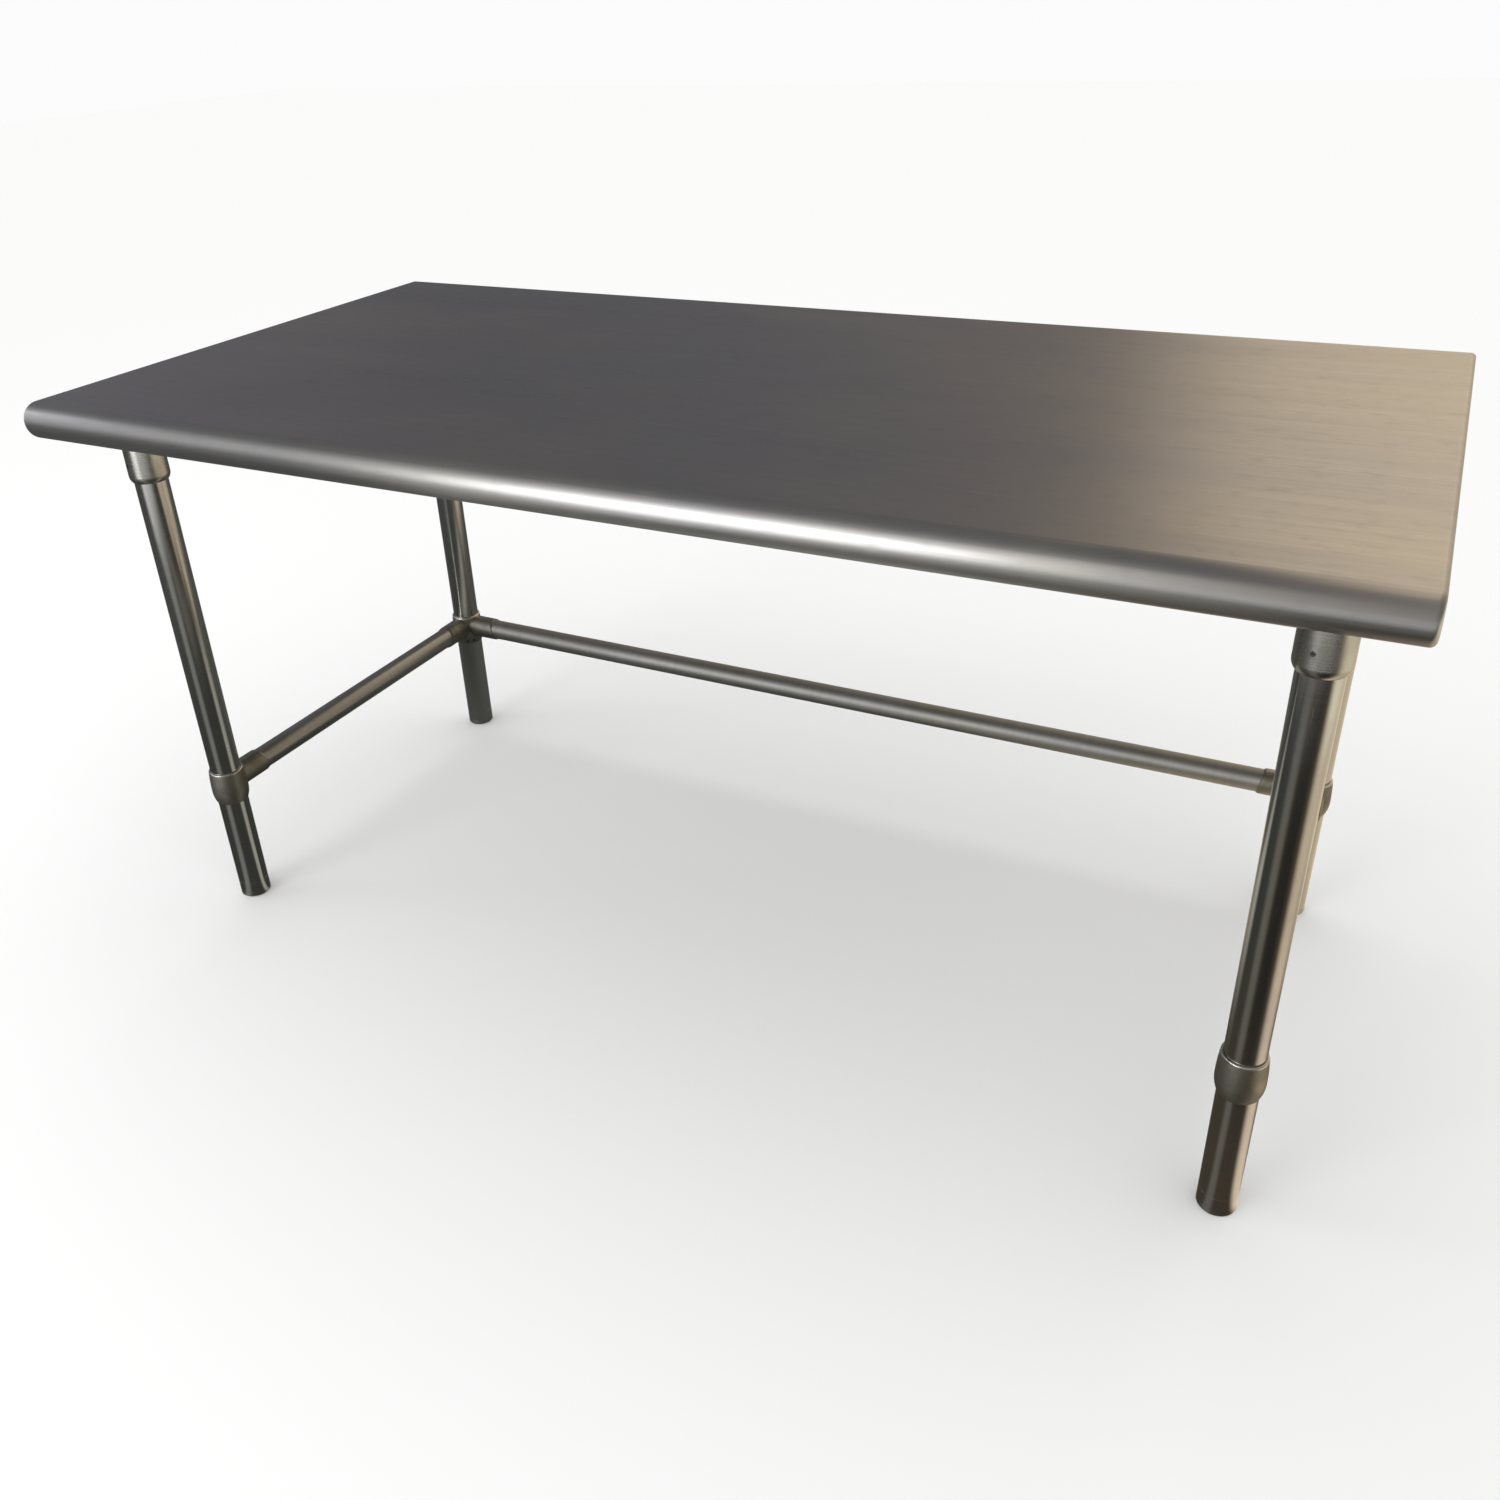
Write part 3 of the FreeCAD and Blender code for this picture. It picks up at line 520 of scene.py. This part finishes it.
def mirrored_floor(g, x, y):
    """Painted reflection of the floor, shown only in the metal: dim, painted brighter on the right and far
    in front.
    """
    rightward = g.ease(x, RIGHT_X)
    near = g.blend(rightward, FLOOR_NEAR_LEFT, FLOOR_NEAR_RIGHT)
    far = g.blend(rightward, FLOOR_BEHIND_LEFT, FLOOR_BEHIND_RIGHT)
    seen = g.blend(g.ease(y, BEHIND_Y), near, far)
    seen = g.blend(g.ease(x, LEFT_X), seen, FLOOR_LEFT)
    front = g.times(g.ease(y, FRONT_Y), g.ease(x, FRONT_X))
    return g.blend(front, seen, FLOOR_FRONT)


def beside_left_leg(g, x, y, seen):
    """Painted reflections for the leg: a grey streak ahead of it and a pale glint to its right."""
    heading, away = polar(g, x, y, "leg_front_left")
    streak = wedge(g, heading, LEFT_STREAK_HEADING, STREAK_WEDGE)
    seen = g.blend(g.times(g.ease(away, LEFT_STREAK_AWAY), streak), seen, LEFT_STREAK)
    glint = wedge(g, heading, LEFT_GLINT_HEADING, LEFT_GLINT_WEDGE)
    return g.blend(g.times(g.ease(away, LEFT_GLINT_AWAY), glint), seen, LEFT_GLINT)


def beside_right_leg(g, x, y, seen):
    """Painted reflections for the leg: a grey streak and a painted shadow ahead of it, and a pool of
    painted warm light to its right.
    """
    heading, away = polar(g, x, y, "leg_front_right")
    streak = wedge(g, heading, RIGHT_STREAK_HEADING, STREAK_WEDGE)
    seen = g.blend(g.times(g.remap(away, RIGHT_STREAK_AWAY), streak), seen, RIGHT_STREAK)
    reach = g.times(g.remap(away, LEG_SHADOW_AWAY), g.remap(away, LEG_SHADOW_CLOSE))
    shadow = g.times(reach, wedge(g, heading, LEG_SHADOW_HEADING, LEG_SHADOW_WEDGE))
    seen = g.blend(shadow, seen, LEG_SHADOW)
    side = g.times(g.ease(heading, FLOOR_RIGHT_STARTS), g.ease(heading, FLOOR_RIGHT_ENDS))
    right = g.blend(g.ease(away, FLOOR_FOOT_AWAY), FLOOR_RIGHT, FLOOR_FOOT)
    right = g.blend(g.ease(x, FLOOR_FAR_RIGHT_X), right, FLOOR_FAR_RIGHT)
    return g.blend(side, seen, right)


def floor_material():
    """A pale floor to the camera; in the metal's reflections it glows with a painted dim floor instead."""
    g = Graph(bpy.data.materials.new("studio_floor"))
    split = g.add("ShaderNodeSeparateXYZ", {"Vector": g.place()})
    x = split.outputs["X"]
    y = split.outputs["Y"]
    seen = mirrored_floor(g, x, y)
    seen = beside_left_leg(g, x, y, seen)
    seen = beside_right_leg(g, x, y, seen)
    pale = g.add("ShaderNodeBsdfDiffuse", {"Color": FLOOR_COLOUR})
    # Painted reflection: an emission seen only by glossy rays, not light falling on the floor.
    dim = g.add("ShaderNodeEmission", {"Color": seen})
    path = g.add("ShaderNodeLightPath")
    mix = g.add("ShaderNodeMixShader", {0: path.outputs["Is Glossy Ray"]})
    g.tree.links.new(pale.outputs[0], mix.inputs[1])
    g.tree.links.new(dim.outputs[0], mix.inputs[2])
    output = g.add("ShaderNodeOutputMaterial")
    g.tree.links.new(mix.outputs[0], output.inputs["Surface"])
    return g.owner


def stand_feet_on(floor):
    """The floor sinks with the lowest foot, so a foot that is screwed out still stands on it."""
    for name in sorted(frame["bodies"]):
        if name.startswith("adjustable_foot"):
            limit = floor.constraints.new("FLOOR")
            limit.target = frame["bodies"][name]
            limit.floor_location = "FLOOR_NEGATIVE_Z"


def build_floor():
    half = FLOOR_HALF
    mesh = bpy.data.meshes.new("floor")
    corners = [(-half, -half, 0), (half, -half, 0), (half, half, 0), (-half, half, 0)]
    mesh.from_pydata(corners, [], [(0, 1, 2, 3)])
    floor = bpy.data.objects.new("floor", mesh)
    bpy.context.scene.collection.objects.link(floor)
    mesh.materials.append(floor_material())
    stand_feet_on(floor)


def wall_colours(g, heading):
    """The colour of the walls round the studio."""
    around = g.remap(heading, span=(-math.pi, math.pi))
    walls = g.add("ShaderNodeValToRGB", {"Fac": around})
    stops = walls.color_ramp.elements
    while len(stops) < len(WALLS):
        stops.new(position=0.5)
    for stop, (degrees, rgb) in zip(stops, WALLS):
        stop.position = (degrees + HALF_TURN) / FULL_TURN
        stop.color = colour(rgb)
    return g.blend(1.0, walls.outputs["Color"], WALL_GAIN, "MULTIPLY")


def build_world():
    """Pale to the camera and to the floor; a dim room with one warm side in reflections."""
    world = bpy.data.worlds.new("studio")
    bpy.context.scene.world = world
    g = Graph(world)
    path = g.add("ShaderNodeLightPath")
    direction = g.add("ShaderNodeTexCoord").outputs["Generated"]
    split = g.add("ShaderNodeSeparateXYZ", {"Vector": direction})
    heading = g.math("ARCTAN2", split.outputs["X"], split.outputs["Y"])
    front = g.ease(split.outputs["Y"], FRONT_WALL)
    lowered = g.math("SUBTRACT", split.outputs["Z"], g.times(front, FRONT_WALL_TALLER))
    ceiling = g.times(g.ease(heading, CEILING_FROM_LEFT), g.ease(lowered, CEILING_STARTS))
    room = g.blend(ceiling, wall_colours(g, heading), CEILING)
    seen = g.blend(path.outputs["Is Diffuse Ray"], room, BOUNCE_COLOUR)
    seen = g.blend(path.outputs["Is Camera Ray"], seen, BACKDROP_COLOUR)
    background = g.add("ShaderNodeBackground", {"Color": seen, "Strength": 1.0})
    output = g.add("ShaderNodeOutputWorld")
    g.tree.links.new(background.outputs[0], output.inputs["Surface"])
    world.cycles.sampling_method = "NONE"


def softbox(name, place, aim, size, radiance, rgb):
    """A rectangular light, given by the brightness of its face and hidden from the camera."""
    light = bpy.data.lights.new(name, "AREA")
    light.shape = "RECTANGLE"
    light.size, light.size_y = size
    light.energy = radiance * math.pi * size[0] * size[1]
    light.color = rgb
    box = bpy.data.objects.new(name, light)
    bpy.context.scene.collection.objects.link(box)
    box.location = place
    box.rotation_mode = "QUATERNION"
    box.rotation_quaternion = (Vector(aim) - Vector(place)).to_track_quat("-Z", "Y")
    box.visible_camera = False


def build_lights():
    softbox("front_window", **FRONT_WINDOW)
    softbox("left_window", **LEFT_WINDOW)


def build_camera():
    heading = Vector((math.sin(CAMERA_HEADING), math.cos(CAMERA_HEADING), 0))
    forward = heading * math.cos(CAMERA_TILT) - Vector((0, 0, math.sin(CAMERA_TILT)))
    level = Vector((math.cos(CAMERA_HEADING), -math.sin(CAMERA_HEADING), 0))
    upright = level.cross(forward)
    right = level * math.cos(CAMERA_ROLL) + upright * math.sin(CAMERA_ROLL)
    up = upright * math.cos(CAMERA_ROLL) - level * math.sin(CAMERA_ROLL)
    data = bpy.data.cameras.new("camera")
    data.sensor_width = SENSOR_MM
    data.lens = LENS_MM
    data.shift_x, data.shift_y = SHIFT
    data.clip_start = NEAREST
    data.clip_end = FARTHEST
    camera = bpy.data.objects.new("camera", data)
    bpy.context.scene.collection.objects.link(camera)
    turn = Matrix((right, up, -forward)).transposed().to_4x4()
    camera.matrix_world = Matrix.Translation(CAMERA_PLACE) @ turn
    bpy.context.scene.camera = camera


build_camera()
build_world()
build_lights()
build_floor()
dress()
bpy.context.scene.view_settings.view_transform = "Standard"
